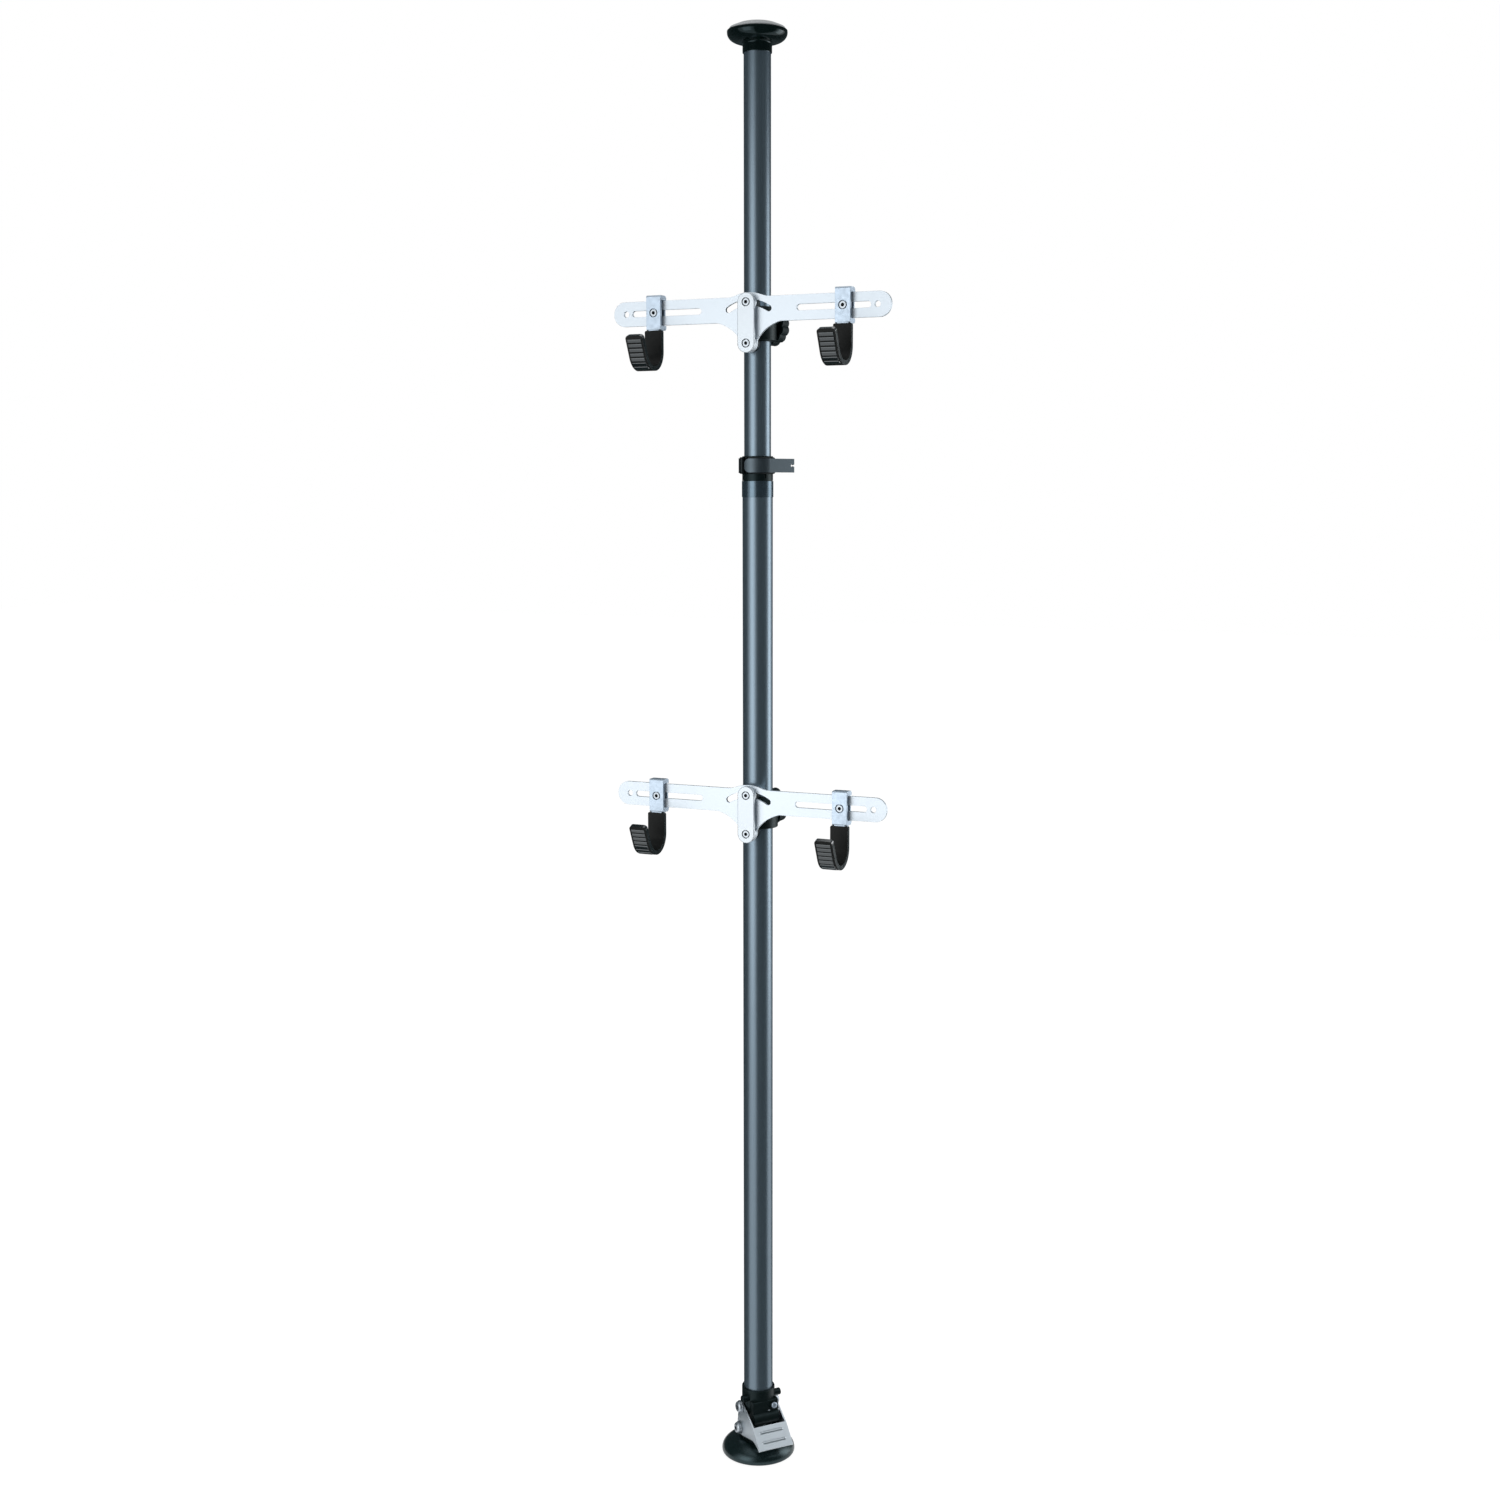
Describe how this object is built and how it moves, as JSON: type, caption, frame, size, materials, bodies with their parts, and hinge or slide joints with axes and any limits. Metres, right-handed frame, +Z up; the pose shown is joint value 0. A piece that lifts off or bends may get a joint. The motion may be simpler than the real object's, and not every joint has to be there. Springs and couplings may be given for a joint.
{
  "type": "bike storage tower",
  "caption": "Telescopic floor-to-ceiling pole with a quick-release height clamp, a pedal that jams it in place, and tilting racks whose sliding hooks hold bicycles by the top tube.",
  "frame": {"origin": "on the floor, on the pole's axis, at the middle of the foot's sole", "axes": "+Z up along the pole, the racks face -Y and their bars run along X"},
  "size_m": [0.489, 0.1829, 2.411],
  "materials": {
    "anodised_tube": "dark blue-grey anodised, satin",
    "satin_aluminium": "satin silver",
    "cast_aluminium": "satin blue-silver",
    "brushed_steel": "brushed",
    "bolt_steel": "machined",
    "dark_aluminium": "dark anodised, satin",
    "black_plastic": "moulded, satin",
    "dipped_pvc": "dipped, glossy",
    "foot_rubber": "moulded, satin",
    "pad_rubber": "moulded, pale grey",
    "nylon": "moulded"
  },
  "bodies": {
    "foot": {"foot_pad": "foot_rubber", "foot_yoke": "black_plastic", "foot_stem": "black_plastic", "stem_screw": "bolt_steel"},
    "tower": {"lower_tube": "anodised_tube", "base_collar": "black_plastic", "pedal_bolt_left": "bolt_steel", "pedal_bolt_right": "bolt_steel", "lock_spring": "bolt_steel", "label_band": "black_plastic", "lock_sleeve": "black_plastic", "clamp_band": "dark_aluminium", "lever_pin": "bolt_steel"},
    "pedal": {"pedal_lever": "brushed_steel", "cam_bolt_left": "bolt_steel", "cam_bolt_right": "bolt_steel"},
    "lock_button": {"lock_button": "cast_aluminium"},
    "quick_lever": {"quick_lever": "dark_aluminium"},
    "upper_guide": {"inner_guide": "nylon"},
    "upper_pole": {"upper_tube": "anodised_tube", "top_cap": "black_plastic", "ceiling_pad": "pad_rubber"},
    "upper_liner": {"upper_liner": "black_plastic"},
    "upper_clamp": {"upper_clamp_body": "black_plastic", "upper_link": "satin_aluminium", "upper_lock_bolt": "bolt_steel", "upper_pivot_bolt": "bolt_steel", "upper_pivot_bush": "nylon"},
    "upper_knob": {"upper_knob": "black_plastic", "upper_knob_stud": "bolt_steel"},
    "upper_bar": {"upper_bar": "satin_aluminium"},
    "upper_hook_left": {"upper_hook_bracket_left": "cast_aluminium", "upper_hook_cover_left": "dipped_pvc", "upper_hook_bolt_left": "bolt_steel", "upper_hook_spacer_left": "black_plastic", "upper_slide_plate_left": "cast_aluminium"},
    "upper_hook_right": {"upper_hook_bracket_right": "cast_aluminium", "upper_hook_cover_right": "dipped_pvc", "upper_hook_bolt_right": "bolt_steel", "upper_hook_spacer_right": "black_plastic", "upper_slide_plate_right": "cast_aluminium"},
    "lower_liner": {"lower_liner": "black_plastic"},
    "lower_clamp": {"lower_clamp_body": "black_plastic", "lower_link": "satin_aluminium", "lower_lock_bolt": "bolt_steel", "lower_pivot_bolt": "bolt_steel", "lower_pivot_bush": "nylon"},
    "lower_knob": {"lower_knob": "black_plastic", "lower_knob_stud": "bolt_steel"},
    "lower_bar": {"lower_bar": "satin_aluminium"},
    "lower_hook_left": {"lower_hook_bracket_left": "cast_aluminium", "lower_hook_cover_left": "dipped_pvc", "lower_hook_bolt_left": "bolt_steel", "lower_hook_spacer_left": "black_plastic", "lower_slide_plate_left": "cast_aluminium"},
    "lower_hook_right": {"lower_hook_bracket_right": "cast_aluminium", "lower_hook_cover_right": "dipped_pvc", "lower_hook_bolt_right": "bolt_steel", "lower_hook_spacer_right": "black_plastic", "lower_slide_plate_right": "cast_aluminium"}
  },
  "joints": [
    {"name": "tower_lift", "type": "slide", "parent": "foot", "child": "tower", "axis": [0, 0, 1], "range_m": [-0.0085, 0]},
    {"name": "pedal_swing", "type": "hinge", "parent": "tower", "child": "pedal", "pos_m": [-0.00306, 0.00257, 0.0835], "axis": [-0.6428, -0.766, 0], "range_deg": [0, 40]},
    {"name": "button_press", "type": "slide", "parent": "tower", "child": "lock_button", "axis": [-0.766, 0.6428, 0], "range_m": [0, 0.002], "stiffness_N_per_m": 600, "springref_m": -0.003, "deforming": ["lock_spring"]},
    {"name": "lever_open", "type": "hinge", "parent": "tower", "child": "quick_lever", "pos_m": [-0.01438, -0.02948, 1.7125], "axis": [0, 0, -1], "range_deg": [0, 130]},
    {"name": "telescope", "type": "slide", "parent": "tower", "child": "upper_guide", "axis": [0, 0, 1], "range_m": [-0.035, 0.75]},
    {"name": "upper_turn", "type": "hinge", "parent": "upper_guide", "child": "upper_pole", "pos_m": [0, 0, 0.8], "axis": [0, 0, 1], "continuous": true},
    {"name": "upper_rack_slide", "type": "slide", "parent": "upper_pole", "child": "upper_liner", "axis": [0, 0, 1], "range_m": [-0.03, 0.3]},
    {"name": "upper_rack_swivel", "type": "hinge", "parent": "upper_liner", "child": "upper_clamp", "pos_m": [0, 0, 1.961], "axis": [0, 0, 1], "continuous": true},
    {"name": "upper_rack_tilt", "type": "hinge", "parent": "upper_clamp", "child": "upper_bar", "pos_m": [0, 0, 1.907], "axis": [0, 1, 0], "range_deg": [-30, 30]},
    {"name": "upper_knob_turn", "type": "hinge", "parent": "upper_clamp", "child": "upper_knob", "pos_m": [0, 0.047, 1.9395], "axis": [0, 1, 0], "continuous": true},
    {"name": "upper_hook_left_slide", "type": "slide", "parent": "upper_bar", "child": "upper_hook_left", "axis": [1, 0, 0], "range_m": [-0.038, 0.077]},
    {"name": "upper_hook_right_slide", "type": "slide", "parent": "upper_bar", "child": "upper_hook_right", "axis": [-1, 0, 0], "range_m": [-0.038, 0.077]},
    {"name": "lower_rack_slide", "type": "slide", "parent": "tower", "child": "lower_liner", "axis": [0, 0, 1], "range_m": [-0.75, 0.35]},
    {"name": "lower_rack_swivel", "type": "hinge", "parent": "lower_liner", "child": "lower_clamp", "pos_m": [0, 0, 1.16], "axis": [0, 0, 1], "continuous": true},
    {"name": "lower_rack_tilt", "type": "hinge", "parent": "lower_clamp", "child": "lower_bar", "pos_m": [0, 0, 1.106], "axis": [0, 1, 0], "range_deg": [-30, 30]},
    {"name": "lower_knob_turn", "type": "hinge", "parent": "lower_clamp", "child": "lower_knob", "pos_m": [0, 0.05, 1.1385], "axis": [0, 1, 0], "continuous": true},
    {"name": "lower_hook_left_slide", "type": "slide", "parent": "lower_bar", "child": "lower_hook_left", "axis": [1, 0, 0], "range_m": [-0.038, 0.077]},
    {"name": "lower_hook_right_slide", "type": "slide", "parent": "lower_bar", "child": "lower_hook_right", "axis": [-1, 0, 0], "range_m": [-0.038, 0.077]}
  ],
  "couplings": [
    {"joint": "pedal_swing", "follows": "tower_lift", "rad_per_m": -82.1}
  ]
}
